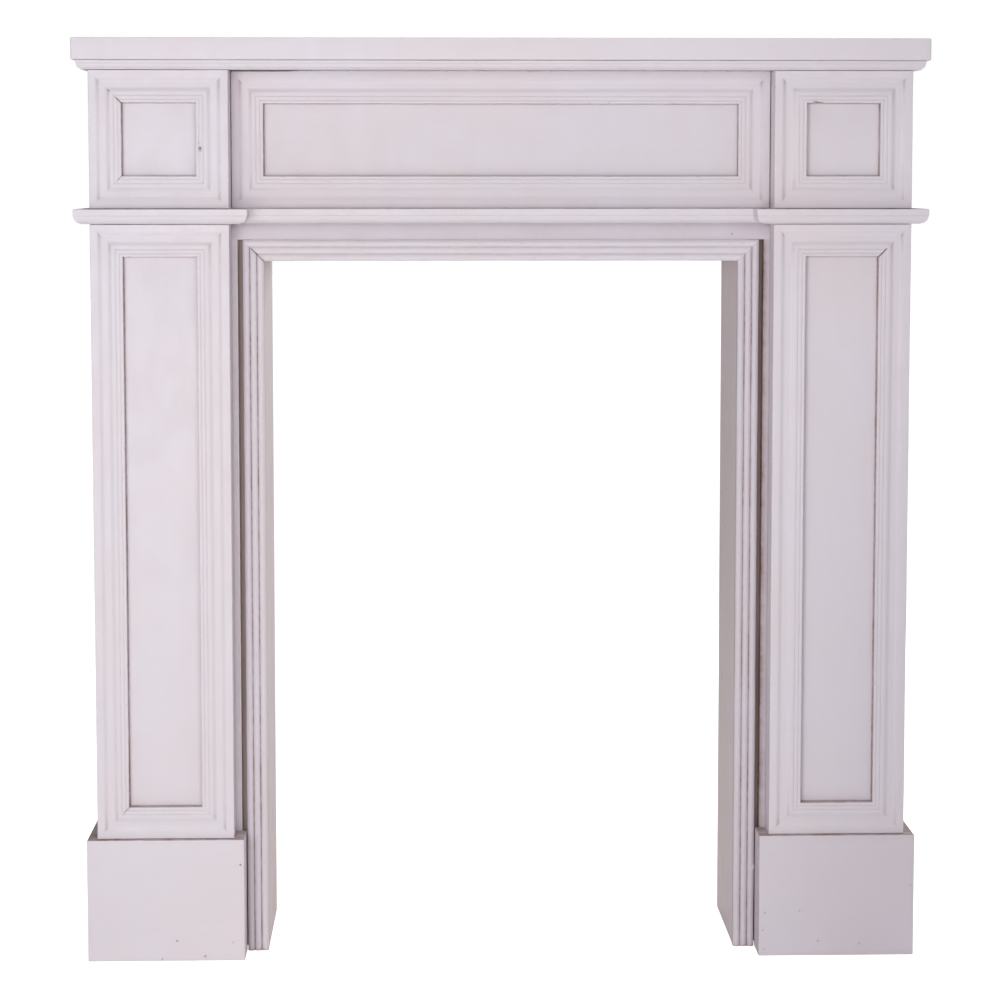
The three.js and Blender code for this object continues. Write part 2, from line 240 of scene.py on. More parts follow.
def lines_across(low, high, radius, extra, step):
    """Places of grid lines along one side: close in both rounded edges, a step apart between."""
    count = max(2, int(round((high - low - 2 * radius) / step)) + 1)
    middle = np.linspace(low + radius, high - radius, count)
    edges = radius * EDGE_SHARES
    return np.unique(np.concatenate([low + edges, middle, high - edges, extra]).round(3))


def board(node, marks, radius=1.0, extra=((), (), ()), step=BOARD_STEP, slot="painted_timber",
          dents=(), grain=None, reshape=None):
    """A board in the box of its CAD node.

    Each grid point p of the box is moved to q + radius * (p - q) / |p - q|, where q is the nearest
    point of the box shrunk by the radius, so that the faces stay flat and the edges turn round.
    A dent is (x, z, width, depth, dark): the front sinks by depth * exp(-(distance / width) to the
    fourth), and dark is how brown it is.
    """
    low, high = corners(node)
    radius = min(radius, 0.45 * float((high - low).min()))
    lines = [lines_across(low[k], high[k], radius, np.asarray(extra[k], float), step)
             for k in range(3)]
    points, quads, count = [], [], 0
    for normal in range(3):
        u, v = [k for k in range(3) if k != normal]
        for wall in (low[normal], high[normal]):
            grid_u, grid_v = np.meshgrid(lines[u], lines[v], indexing="ij")
            patch = np.empty(grid_u.shape + (3,))
            patch[..., u], patch[..., v], patch[..., normal] = grid_u, grid_v, wall
            rows, columns = grid_u.shape
            i, j = np.meshgrid(np.arange(rows - 1), np.arange(columns - 1), indexing="ij")
            at = count + i * columns + j
            faces = np.stack([at, at + columns, at + columns + 1, at + 1], axis=-1).reshape(-1, 4)
            if (wall == low[normal]) == (normal != 1):
                faces = faces[:, ::-1]
            points.append(patch.reshape(-1, 3))
            quads.append(faces)
            count += rows * columns
    flat = np.concatenate(points).round(4)
    flat, same = np.unique(flat, axis=0, return_inverse=True)
    quads = same.reshape(-1)[np.concatenate(quads)]
    core = np.clip(flat, low + radius, high - radius)
    reach = flat - core
    far = np.linalg.norm(reach, axis=1, keepdims=True)
    rounded = core + np.where(far > 0, reach / np.maximum(far, 1e-9) * radius, 0)
    edge = np.clip((far[:, 0] - radius) / (radius * (math.sqrt(2) - 1)), 0, 1)
    made = spread(marks(flat, low, high, edge), edge.shape)
    front = np.abs(flat[:, 1] - low[1]) < 1e-3
    for x, z, width, depth, dark in dents:
        away = np.hypot(flat[:, 0] - x, flat[:, 2] - z)
        hollow = np.exp(-((away / width) ** 4)) * front
        rounded[:, 1] += depth * hollow
        ring = 0.15 * front * np.exp(-away / 1.2)
        made["crevice"] = np.maximum(made["crevice"], dark * (hollow + ring))
    if reshape is not None:
        rounded = reshape(rounded, low, high)
    size = high - low
    long = int(np.argmax(size)) if grain is None else grain
    others = [k for k in range(3) if k != long]
    seed = float(sum(map(ord, node)) % 97) * 13
    made["run"] = np.stack([flat[:, long], flat[:, others[0]] + flat[:, others[1]],
                            np.full(len(flat), seed)], axis=1)
    make_piece(node, rounded, quads, [], made, slot)


AT_WALL = (1, 1)
ON_TOP = (2, 1)
UNDERNEATH = (2, -1)


def on_face(points, low, high, *faces):
    """1 on these faces of a board's box, 0 elsewhere; a face is (axis, -1 for low or 1 for high)."""
    hits = [np.abs(points[:, axis] - (high if way > 0 else low)[axis]) < 0.02 for axis, way in faces]
    return np.any(hits, axis=0).astype(float)


print("grid lines across a 30 mm edge:", len(lines_across(0.0, 30.0, 1.0, (), BOARD_STEP)))

# %% [markdown]
# Every panel has a frame of four mitred lengths of the same moulding: a flat fillet outside, a
# broad shallow cove, two fine grooves and a small bead inside. It is 11 mm thick, so its inner edge
# stands up round the flat panel like the wall of a tray; that wall is brown, with painted shade that
# deepens towards the panel.

# %% Section of the frame moulding
FRAME_WIDTH = 44.0
FRAME_THICK = 11.0
FILLET = 9.5
COVE_FLOOR = (17.0, 22.5)
COVE_END = 30.0
COVE_DEPTH = 1.8
FINE_GROOVES = (34.0, 39.6)
GROOVE_DEPTH = 0.55
ARRIS = 1.1


def quarter(centre, radius, start, count=6):
    """Points of a quarter circle from angle start, turning left, round a centre."""
    turn = start + np.linspace(0, np.pi / 2, count)
    return np.stack([centre[0] + radius * np.cos(turn), centre[1] + radius * np.sin(turn)], axis=1)


def frame_depth(across):
    """Depth behind the face: an eased cosine in and out of the cove, and two fine grooves."""
    share_in = np.clip((across - FILLET) / (COVE_FLOOR[0] - FILLET), 0, 1)
    share_out = np.clip((across - COVE_FLOOR[1]) / (COVE_END - COVE_FLOOR[1]), 0, 1)
    ease_in = (1 - np.cos(np.pi * share_in)) / 2
    ease_out = (1 + np.cos(np.pi * share_out)) / 2
    cuts = sum(bump_at(across, place, 0.55) for place in FINE_GROOVES)
    return COVE_DEPTH * np.minimum(ease_in, ease_out) + GROOVE_DEPTH * cuts


def frame_section():
    """Round the section: the outer edge, the moulded face, the inner edge and the flat back."""
    plain = np.concatenate([np.linspace(ARRIS + 0.4, FILLET, 4)[:-1], np.linspace(FILLET, COVE_END, 27)])
    fine = [place + np.array([-1.5, -0.9, -0.6, -0.3, 0, 0.3, 0.6, 0.9, 1.5]) for place in FINE_GROOVES]
    across = np.unique(np.concatenate([plain, *fine, [32.0, 36.8, 42.0]]).round(3))
    face = np.stack([across, frame_depth(across)], axis=1)
    outer = quarter((ARRIS, ARRIS), ARRIS, np.pi)
    inner = quarter((FRAME_WIDTH - ARRIS, ARRIS), ARRIS, 1.5 * np.pi)
    wall_in = np.array([[FRAME_WIDTH, d] for d in (2.0, 3.5, 5.5, 7.5, 9.5, FRAME_THICK)])
    back = np.array([[s, FRAME_THICK] for s in (33.0, 22.0, 11.0, 0.0)])
    wall_out = np.array([[0.0, d] for d in (8.0, 5.0, 3.0)])
    return np.concatenate([outer, face, inner, wall_in, back, wall_out])


FRAME_SECTION = frame_section()
print("frame section:", len(FRAME_SECTION), "points")

# %% [markdown]
# Some mitres have opened as the timber shrank, others are still bridged by paint. Each frame
# therefore keeps a list of its open stretches: which corner, from where to where across the
# moulding, and how wide. The gap is a soft-ended step, so that a crack narrows before it stops.

# %% Open mitres
CLOSED_GAP = 0.02
SOFT_END = 0.6
open_mitres = {
    ("left_block", "left top"): [(26.6, 28.4, 0.8), (36.0, 45.0, 0.6)],
    ("left_block", "left bottom"): [(37.0, 44.0, 0.3)],
    ("left_pilaster", "left bottom"): [(36.0, 43.5, 0.35)],
    ("right_pilaster", "right top"): [(33.0, 45.0, 0.7)],
    ("architrave", "left top"): [(11.0, 30.0, 0.7)],
}


def mitre_gap(group, corner):
    """How far a mitred end stands back, by distance in from the outer edge."""
    def gap(across):
        back = np.full_like(across, CLOSED_GAP)
        for start, end, width in open_mitres.get((group, corner), ()):
            begun = smooth(across, start - SOFT_END, start + SOFT_END)
            ended = smooth(across, end - SOFT_END, end + SOFT_END)
            back = back + width * begun * (1 - ended)
        return back
    return gap


def mitred(inside):
    """Where each line of a closed mitre starts."""
    return inside + CLOSED_GAP


def mitre_shade(gaps, inside, place, first, last):
    """Dark in open mitres: exp(-distance from the cut / 0.5 mm), where the gap is open."""
    first_gap, last_gap = (np.clip(gap(inside) / 0.5, 0, 1) for gap in gaps)
    return np.exp(-(place - first) / 0.5) * first_gap + np.exp(-(last - place) / 0.5) * last_gap


print("open mitres:", len(open_mitres))

# %% [markdown]
# Each frame is laid out as bottom, top, left and right member. Uprights hold more brown in their
# coves than rails, most of all near their ends: part of it is painted shade on cove slopes turned
# sideways from the light, and part is paint left thinner where a brush stroke ends.

# %% Panelled frames
RIGHT = (1, 0, 0)
LEFT = (-1, 0, 0)
BACK = (0, 1, 0)
UP = (0, 0, 1)
DOWN = (0, 0, -1)
HANDS = (("left", -1), ("right", 1))


def frame_marks(upright, gaps, chips, inside, level, place, first, last, points):
    """Brown in the grooves, at open mitres and in chips; brown and painted shade in the coves and on the
    recess wall; wear along the arrises.
    """
    on_front = level < 4
    grooves = sum(bump_at(inside, at, 0.5) for at in FINE_GROOVES) * (level < 3)
    cove = (bump_at(inside, 12.5, 2.0) + 0.7 * bump_at(inside, 26.5, 2.0)) * on_front
    # uprights take more in their coves than rails: brown, and painted shade on slopes turned sideways from
    # the light
    even, near_end = (0.09, 0.42) if upright else (0.015, 0.05)
    stain_and_shade = (even + near_end * np.exp(-np.minimum(place - first, last - place) / 14.0)) * cove
    at_panel = smooth(level, 0.5, 1.6) * (inside > FRAME_WIDTH - 0.5)
    # brown and painted shade on the recess wall, darker towards the panel
    wall = (0.36 + 0.36 * smooth(level, 2.0, 9.0)) * at_panel
    mitre = mitre_shade(gaps, inside, place, first, last)
    crevice = 0.16 * grooves + stain_and_shade + wall + 0.75 * mitre * on_front
    for x, z, width, strength in chips:
        away = np.hypot(points[..., 0] - x, points[..., 2] - z)
        crevice = np.maximum(crevice, 1.3 * strength * np.exp(-((away / width) ** 4)))
    arris = bump_at(inside, 0.3, 0.8) + bump_at(inside, FRAME_WIDTH - 0.3, 0.8)
    return {"crevice": crevice, "worn": arris * on_front, "bare": level > FRAME_THICK - 0.5}


LINE_WIDTH = 1.15
# brown and painted shade at the left, right, bottom and top of each kind of panel
panel_lines = {
    "left": (0.85, 0.34, 0.40, 0.45),
    "right": (0.38, 0.85, 0.80, 0.50),
    "frieze": (0.75, 0.34, 0.30, 0.40),
}


def panel_marks(inner_low, inner_high, strengths, points, low, high, edge):
    """Brown and painted shade along the frame, where the panel meets its wall: strength * exp(-(distance /
    LINE_WIDTH) squared) at each of four sides.
    """
    sides = [points[:, 0] - inner_low[0], inner_high[0] - points[:, 0],
             points[:, 2] - inner_low[2], inner_high[2] - points[:, 2]]
    lines = [strength * bump_at(np.clip(side, 0, None), 0, LINE_WIDTH)
             for strength, side in zip(strengths, sides)]
    return {"crevice": np.max(lines, axis=0), "bare": on_face(points, low, high, AT_WALL)}


BRIDGED = 1.55


def bridge(inside, points):
    """Paint and filler that close the joint over the frieze, right of the stretch that is still open."""
    ragged = 0.25 * np.sin(points[..., 0] / 2.1) * bump_at(points[..., 0], -272.0, 16.0)
    return BRIDGED * np.clip(smooth(points[..., 0], -292.0, -262.0) + ragged, 0, 1) * (inside < 0.5)


CHIP_DEPTH = 1.2
chips = {
    "left_block_inner_stile": [(-408.4, 1118.4, 1.9, 1.3), (-409.2, 1114.8, 1.2, 1.0),
                               (-409.9, 1126.0, 0.9, 0.5)],
    "right_block_top_rail": [(427.0, 1181.2, 2.4, 1.0), (433.0, 1180.6, 1.8, 0.8)],
}


def panelled_frame(group, names):
    """Four mitred members and the panel behind them, from the boxes of their CAD nodes."""
    nodes = [f"{group}_{names[side]}" for side in ("bottom", "right", "top", "left")]
    low, high = corners(*nodes)
    width, height = high[0] - low[0], high[2] - low[2]
    left_top = (low[0], low[1], high[2])
    right_bottom = (high[0], low[1], low[2])
    plans = {
        "bottom": (low, (RIGHT, UP, BACK), width, "left bottom", "right bottom"),
        "top": (left_top, (RIGHT, DOWN, BACK), width, "left top", "right top"),
        "left": (low, (UP, RIGHT, BACK), height, "left bottom", "left top"),
        "right": (right_bottom, (UP, LEFT, BACK), height, "right bottom", "right top"),
    }
    for side, (origin, axes, length, first_corner, last_corner) in plans.items():
        first_gap, last_gap = mitre_gap(group, first_corner), mitre_gap(group, last_corner)
        node = f"{group}_{names[side]}"
        upright = side in ("left", "right")
        flaws = chips.get(node, ())
        middle = [(z - low[2]) if upright else (x - low[0]) for x, z, width, strength in flaws]
        extra = np.concatenate([[]] + [centre + np.linspace(-4, 4, 17) for centre in middle])
        hollows = [(x, z, width, CHIP_DEPTH * strength) for x, z, width, strength in flaws]
        moulding(
            node, FRAME_SECTION, origin, axes, length,
            lambda inside: inside + first_gap(inside),
            lambda inside: length - inside - last_gap(inside),
            partial(frame_marks, upright, (first_gap, last_gap), flaws), extra=extra, flaws=hollows,
            lift=bridge if node == "frieze_top_rail" else None,
        )
    inner_low = low + np.array([FRAME_WIDTH, 0, FRAME_WIDTH])
    inner_high = high - np.array([FRAME_WIDTH, 0, FRAME_WIDTH])
    rings = np.array([0.0, 0.4, 0.8, 1.2, 1.7, 2.4, 4.0, 7.0])
    near = [np.concatenate([inner_low[k] + rings, inner_high[k] - rings]) for k in (0, 2)]
    lines = panel_lines[group.split("_")[0]]
    board(f"{group}_panel", partial(panel_marks, inner_low, inner_high, lines), 0.5, (near[0], (), near[1]))


rails = {"bottom": "bottom_rail", "top": "top_rail"}
for hand, inner in (("left", "right"), ("right", "left")):
    names = {**rails, inner: "inner_stile", hand: "outer_stile"}
    panelled_frame(f"{hand}_pilaster", names)
    panelled_frame(f"{hand}_block", names)
panelled_frame("frieze", {**rails, "left": "left_stile", "right": "right_stile"})
print("pieces so far:", len(painted))

# %% [markdown]
# The cap moulding runs between the legs and the corner blocks and on across the centre. Its section
# is a flat fascia, a small step and a quarter round that runs in underneath. Dust and brown varnish
# lie on its top, a ledge that catches everything, and in the small step.

# %% Cap moulding
CAP_FASCIA = 9.2
CAP_UNDERCUT = 9.6
CAP_STEP = 0.8
MITRE_ROOM = 0.15
cap_low, cap_high = corners("left_cap_front", "right_cap_front")
cap_bottom, cap_top, cap_front, cap_out = cap_low[2], cap_high[2], cap_low[1], cap_high[0]
cap_step = cap_top - CAP_FASCIA


def hollow_to(start, end, count=9):
    """Quarter ellipse from one corner of a box to the other, bulging outwards."""
    turn = np.linspace(0, np.pi / 2, count)
    x = start[0] + (end[0] - start[0]) * (1 - np.cos(turn))
    y = start[1] + (end[1] - start[1]) * np.sin(turn)
    return np.stack([x, y], axis=1)


def cap_section(depth):
    """[inside, level] round the cap: top ledge, eased arris, fascia, step, quarter round, underside."""
    low, high, step = cap_bottom, cap_top, cap_step
    ledge = np.array([[s, high] for s in np.linspace(depth, ARRIS + 0.3, 6)])
    arris = quarter((ARRIS, high - ARRIS), ARRIS, np.pi / 2, 5)
    fascia = np.array([[0.0, z] for z in np.linspace(high - ARRIS - 0.5, step + 0.4, 5)])
    notch = np.array([[0.12, step + 0.12], [0.4, step], [CAP_STEP, step - 0.25],
                      [CAP_STEP, step - CAP_STEP]])
    under = hollow_to((CAP_STEP, step - CAP_STEP), (CAP_UNDERCUT, low + CAP_STEP))[1:]
    below = np.array([[CAP_UNDERCUT, low + 0.3]]
                     + [[s, low] for s in np.linspace(CAP_UNDERCUT + 0.3, depth, 4)])
    back = np.array([[depth, (low + high) / 2]])
    return np.concatenate([ledge, arris, fascia, notch, under, below, back])


def cap_marks(inside, level, place, first, last, points):
    """Brown on the ledge and in the step, and softly at the foot of the quarter round."""
    ledge = 0.75 * smooth(level, cap_top - 0.3, cap_top - 0.05) * smooth(inside, 0.3, 1.4)
    step = 0.2 * bump_at(level, cap_step - 0.1, 0.4) * (inside < 2)
    curve = 0.12 * bump_at(level, cap_step - 3.4, 0.5)
    foot = 0.22 * smooth(-level, -(cap_bottom + 1.6), -cap_bottom)
    arris = bump_at(level, cap_top - 0.4, 0.7) * (inside < 1.5)
    return {"crevice": ledge + step + curve + foot, "worn": arris}


def cap_run(node, depth, origin, axes, length, start, end):
    """One length of the cap moulding."""
    moulding(node, cap_section(depth), origin, axes, length, start, end, cap_marks)


pilaster_low, pilaster_high = corners("right_pilaster_bottom_rail")
cap_in = corners("right_cap_inner_return")[0][0]
cap_width = cap_out - cap_in
outer_reach = cap_out - pilaster_high[0] - MITRE_ROOM
inner_reach = pilaster_low[0] - MITRE_ROOM - cap_in
band_low, band_high = corners("centre_band")
band_front, band_back = band_low[1], band_high[1]
for hand, side in HANDS:
    along, inwards = (side, 0, 0), (-side, 0, 0)
    front_low, front_high = corners(f"{hand}_cap_front")
    cap_run(f"{hand}_cap_front", front_high[1] - front_low[1], (side * cap_in, cap_front, 0),
            (along, BACK, UP), cap_width,
            lambda inside: np.minimum(inside, inner_reach) + CLOSED_GAP,
            lambda inside: cap_width - np.minimum(inside, outer_reach) - CLOSED_GAP)
    back_low, back_high = corners(f"{hand}_cap_outer_return")
    cap_run(f"{hand}_cap_outer_return", back_high[0] - back_low[0], (side * cap_out, cap_front, 0),
            (BACK, inwards, UP), back_high[1] - cap_front, mitred, square(back_high[1] - cap_front))
    cap_run(f"{hand}_cap_inner_return", inner_reach - 0.3, (side * cap_in, cap_front, 0),
            (BACK, along, UP), band_back - cap_front, mitred,
            lambda inside: band_front - cap_front + np.minimum(inside, band_back - band_front) - CLOSED_GAP)
cap_run("centre_band", band_back - band_front, (-cap_in, band_front, 0), (RIGHT, BACK, UP), 2 * cap_in,
        lambda inside: -inside + CLOSED_GAP, lambda inside: 2 * cap_in + inside - CLOSED_GAP)
print("cap from", round(cap_bottom, 1), "to", round(cap_top, 1), "mm")

# %% [markdown]
# Under the shelf a smaller moulding goes round three sides: a fillet over a quarter round. Between
# it and the frames below runs an open joint, black with dust above the frieze.

# %% Bed moulding and shelf
BED_FILLET = 3.2
BED_UNDERCUT = 5.5
BED_LIP = 0.95
bed_low, bed_high = corners("bed_moulding_front")
bed_bottom, bed_top, bed_front = bed_low[2], bed_high[2], bed_low[1]
bed_step = bed_top - BED_FILLET
bed_out, bed_wall = corners("bed_moulding_right")[1][:2]


def bed_section(depth):
    """[inside, level] round the bed moulding: fillet, small step and quarter round."""
    high, step, foot = bed_top, bed_step, bed_bottom - BED_LIP
    fillet = np.array([[depth, high], [depth / 2, high], [0.3, high], [0.0, high - 0.3],
                       [0.0, step + 0.4], [0.12, step + 0.1], [0.5, step - 0.3],
                       [CAP_STEP, step - CAP_STEP]])
    under = hollow_to((CAP_STEP, step - CAP_STEP), (BED_UNDERCUT, bed_bottom + 0.4))[1:]
    below = np.array([[BED_UNDERCUT + 0.4, foot], [depth * 0.4, foot], [depth * 0.7, foot], [depth, foot]])
    return np.concatenate([fillet, under, below])


def bed_marks(inside, level, place, first, last, points):
    """Brown under the shelf, in the step and below."""
    lines = 0.1 * smooth(level, bed_top - 0.5, bed_top) + 0.12 * bump_at(level, bed_step - 0.5, 0.6)
    foot = 0.16 * smooth(-level, -(bed_bottom + 1.0), -bed_bottom)
    return {"crevice": lines + foot}


bed_shape = bed_section(bed_high[1] - bed_front)
moulding("bed_moulding_front", bed_shape, (-bed_out, bed_front, 0), (RIGHT, BACK, UP), 2 * bed_out,
         mitred, lambda inside: 2 * bed_out - mitred(inside), bed_marks)
for hand, side in HANDS:
    moulding(f"bed_moulding_{hand}", bed_shape, (side * bed_out, bed_front, 0), (BACK, (-side, 0, 0), UP),
             bed_wall - bed_front, mitred, square(bed_wall - bed_front), bed_marks)


def shelf_marks(points, low, high, edge):
    """Brown low on the front edge and under it; a rubbed front arris; bare where the wall was."""
    foot = 0.18 * smooth(-points[:, 2], -(low[2] + 1.2), -low[2]) * (points[:, 1] < low[1] + 8)
    under = 0.2 * on_face(points, low, high, UNDERNEATH)
    behind = on_face(points, low, high, AT_WALL)
    return {"crevice": np.maximum(foot, under), "worn": edge, "bare": behind}


board("mantel_shelf", shelf_marks, 2.2, step=11.0)

# %% [markdown]
# Three round reeds side by side make the architrave. They are the same width, with a fine line of
# old brown varnish between them that a brush could not reach.

# %% Reeded architrave
REEDS = 3
REED_RELIEF = 3.0


def reed_section(width, thick):
    """[across, depth]: each reed is a half sine wave, 3 mm proud of the lines between reeds."""
    reed = width / REEDS
    share = np.unique(np.concatenate([np.linspace(0, 1, 13), [0.02, 0.045, 0.955, 0.98]]))[1:]
    depth = REED_RELIEF * (1 - np.sin(np.pi * share) ** 0.85)
    rows = [np.stack([(k + share) * reed, depth], axis=1) for k in range(REEDS)]
    face = np.concatenate([[[0.0, REED_RELIEF]], *rows])
    inner = np.array([[width, d] for d in (5.0, 8.0, 11.0, thick)])
    back = np.array([[s, thick] for s in (width * 0.66, width * 0.33, 0.0)])
    outer = np.array([[0.0, d] for d in (10.0, 6.0)])
    return np.concatenate([face, inner, back, outer])


FILLER_HEIGHT = 113.0
LINE_ON_LEGS = 0.74
LINE_ON_HEAD = 0.22


def reed_marks(line, gaps, upright, filler, greys, inside, level, place, first, last, points):
    """A brown line between reeds, darker sides and feet, clean filler, and dark open mitres.

    Its grey painted shade is greys[0] + greys[1] * exp(-inside / 9 mm): all over, most on the right leg
    where the light falls off, and more beside the channel, in the shadow of the leg.
    """
    reed = reed_width / REEDS
    on_front = level < 4
    lines = sum(bump_at(inside, reed * k, 0.5) for k in (1, 2)) * on_front
    soft = sum(bump_at(inside, reed * k, 1.6) for k in (1, 2)) * on_front
    sides = 0.2 * smooth(level, 3.2, 6.0) * ((inside < 0.5) | (inside > reed_width - 0.5))
    mitre = 0.6 * mitre_shade(gaps, inside, place, first, last) * on_front
    foot = upright * 0.6 * np.exp(-place / 2.6)
    filled = 1 - filler * np.exp(-((np.hypot(inside, place - FILLER_HEIGHT) / 4.0) ** 4))
    crevice = (line * (lines + 0.16 * soft) + sides + foot + mitre) * filled
    crest = bump_at(np.mod(inside, reed), reed / 2, 0.9) * (level < 1)
    # grey painted shade: all over where the light falls off, and more beside the channel
    grey = (greys[0] + greys[1] * np.exp(-inside / 9.0)) * filled
    return {"crevice": crevice, "worn": 0.6 * crest, "bare": level > 12.5, "dull": grey}


head_low, head_high = corners("architrave_head")
leg_low, leg_high = corners("architrave_left")
reed_width = leg_high[0] - leg_low[0]
reed_thick = head_high[1] - head_low[1]
head_length = head_high[0] - head_low[0]
reeds = reed_section(reed_width, reed_thick)
left_gap = mitre_gap("architrave", "left top")
right_gap = mitre_gap("architrave", "right top")
moulding(
    "architrave_head", reeds, (head_low[0], head_low[1], head_high[2]), (RIGHT, DOWN, BACK), head_length,
    lambda inside: inside + left_gap(inside), lambda inside: head_length - inside - right_gap(inside),
    partial(reed_marks, LINE_ON_HEAD, (left_gap, right_gap), 0, 0, (0.0, 0.0)), drift=0.2,
)
lump = [(head_high[0], FILLER_HEIGHT, 3.2, -0.85)]
legs = (
    ("left", RIGHT, head_low[0], left_gap, (0.06, 0.5), 0, ()),
    ("right", LEFT, head_high[0], right_gap, (0.28, 0.08), 1, lump),
)
for hand, way, edge_x, gap, greys, filler, flaws in legs:
    moulding(
        f"architrave_{hand}", reeds, (edge_x, head_low[1], 0), (UP, way, BACK), head_high[2],
        square(0.0), lambda inside: head_high[2] - inside - gap(inside),
        partial(reed_marks, LINE_ON_LEGS, (square(0.0), gap), 1, filler, greys), drift=0.25,
        extra=FILLER_HEIGHT + np.linspace(-5, 5, 11), flaws=flaws,
    )
print("architrave", round(reed_width, 1), "mm wide,", round(head_high[2], 1), "mm high")

# %% [markdown]
# The plinths carry the story of the piece: filled nail holes, small dents, and brown on the ledge
# where the leg stands back. Each hole is a real hollow with the grid lines drawn in round it.

# %% Plinths
PLINTH_EDGE = 1.2
HOLE_RINGS = np.array([-2.4, -1.4, -0.9, -0.55, -0.25, 0.0, 0.25, 0.55, 0.9, 1.4, 2.4])
left_holes = [
    (-361.5, 134.8, 1.15, 1.6, 1.0), (-449.6, 28.3, 1.15, 1.4, 0.9), (-411.0, 6.2, 1.35, 2.0, 1.0),
    (-470.0, 2.6, 1.0, 1.2, 0.8), (-372.5, 25.6, 0.9, 0.6, 0.45), (-559.6, 137.5, 1.3, 0.35, 0.04),
    (-486.7, 85.0, 0.8, 0.4, 0.12), (-482.6, 43.5, 0.8, 0.4, 0.16),
]
right_holes = [
    (477.0, 134.6, 0.7, 0.4, 0.2), (480.0, 83.3, 0.7, 0.4, 0.25), (412.5, 63.8, 0.9, 1.2, 0.7),
    (364.3, 61.1, 0.8, 1.2, 0.7), (361.5, 36.1, 0.8, 1.2, 0.7), (438.6, 20.8, 0.9, 1.2, 0.7),
    (496.5, 16.7, 0.9, 1.2, 0.7), (364.3, 9.7, 0.8, 1.2, 0.7), (566.7, 98.5, 0.8, 1.0, 0.6),
]


def plinth_marks(plinth_shade, points, low, high, edge):
    """Brown on the top ledge and the inner side, a little at leg and floor; grey painted shade as its share
    says.
    """
    ledge = 0.75 * on_face(points, low, high, ON_TOP)
    leg = 0.10 * np.exp(-(high[2] - points[:, 2]) / 1.0)
    floor = 0.10 * np.exp(-(points[:, 2] - low[2]) / 2.0)
    inner = (np.abs(points[:, 0]) < 356.5) * 0.25
    crevice = np.maximum.reduce([ledge, leg, floor, inner])
    behind = on_face(points, low, high, AT_WALL)
    return {"crevice": crevice, "worn": edge, "bare": behind, "dull": plinth_shade}


def clear_of_edges(places, low, high, margin=1.3):
    """Those places that keep off the rounded edges."""
    return places[(places > low + margin) & (places < high - margin)]


# the right plinth takes extra grey painted shade, where the light falls off to the right
for hand, holes, plinth_shade in (("left", left_holes, 0.0), ("right", right_holes, 0.15)):
    low, high = corners(f"{hand}_plinth_front")
    across, up = (np.concatenate([hole[k] + HOLE_RINGS for hole in holes]) for k in (0, 1))
    extra = (clear_of_edges(across, low[0], high[0]), (), clear_of_edges(up, low[2], high[2]))
    marks = partial(plinth_marks, plinth_shade)
    board(f"{hand}_plinth_front", marks, PLINTH_EDGE, extra, dents=holes, grain=0)
    for part in ("outer", "inner"):
        board(f"{hand}_plinth_{part}_side", marks, PLINTH_EDGE)
print("nail holes and dents:", len(left_holes) + len(right_holes))

# %% [markdown]
# Linings, leg boards, sides and the fascia are plain boards. What matters on them is where painted
# shade and dirt gather: under the head of the opening, beside the legs and in the fascia's top
# corners. Their hidden faces were never painted.

# %% Linings, boards and sides
CHANNEL = 362.0


def lining_marks(side, points, low, high, edge):
    """Brown under the head, on the left one low down too; bare against the brickwork."""
    under_head, even, low_down = (0.22, 0.08, 0.14) if side < 0 else (0.1, 0.0, 0.0)
    stain_and_shade = even + low_down * np.exp(-points[:, 2] / 300.0)
    crevice = stain_and_shade + under_head * np.exp(-(high[2] - points[:, 2]) / 20.0)
    bare = on_face(points, low, high, (0, side), AT_WALL)
    return {"crevice": crevice, "worn": edge * 0.6, "bare": bare}


def head_lining_marks(points, low, high, edge):
    """Brown on the underside; bare on top and behind."""
    crevice = 0.3 * on_face(points, low, high, UNDERNEATH)
    return {"crevice": crevice, "worn": edge * 0.5, "bare": on_face(points, low, high, ON_TOP, AT_WALL)}


def leg_board_marks(side, points, low, high, edge):
    """Painted only in front: its narrow strip beside the leg takes brown-grey painted shadow at the edge of
    the channel, heavy on the right and light on the left, and painted shade inside the channel.
    """
    from_channel = np.abs(points[:, 0]) - CHANNEL
    # painted shadow beside the channel: an even share, a share at the channel's edge, and grey painted
    # shade
    even, shaded, grey = (0.0, 0.12, 0.02) if side < 0 else (0.16, 0.62, 0.42)
    strip = even + shaded * bump_at(np.clip(from_channel, 0, None), 0, 3.4)
    crevice = np.maximum(strip, 0.14 * (from_channel < 0.1))
    back = on_face(points, low, high, AT_WALL)
    return {"crevice": crevice, "worn": edge * 0.3, "bare": back, "dull": grey}


def outer_side_marks(side, points, low, high, edge):
    """Outer sides of the legs: clean paint with brown near the foot, bare inside and at the wall."""
    foot = 0.4 * np.exp(-(points[:, 2] - low[2]) / 2.0)
    bare = on_face(points, low, high, (0, -side), AT_WALL)
    return {"crevice": foot, "worn": edge * 0.5, "bare": bare}


def inner_side_marks(side, points, low, high, edge):
    """Inner sides of the legs, in their own shadow: a little brown all over, and painted shade darkening
    towards the board behind.
    """
    corner = (0.05 if side < 0 else 0.22) * np.exp(-(high[1] - points[:, 1]) / 5.0)
    bare = on_face(points, low, high, (0, side))
    return {"crevice": 0.04 + corner, "worn": edge * 0.4, "bare": bare}


def fascia_marks(points, low, high, edge):
    """Grey painted shade all over, deepening under the band above, where dirt adds a little brown; brown in
    its top corners between the legs; bare behind.
    """
    top = np.exp(-np.clip(1016.0 - points[:, 2], 0, None) / 7.0)
    corner = 0.4 * np.exp(-np.clip(370.0 - np.abs(points[:, 0]), 0, None) / 9.0) * top
    back = on_face(points, low, high, AT_WALL)
    return {"crevice": 0.04 + 0.12 * top + 0.6 * corner, "bare": back, "dull": 0.25 + 0.6 * top}


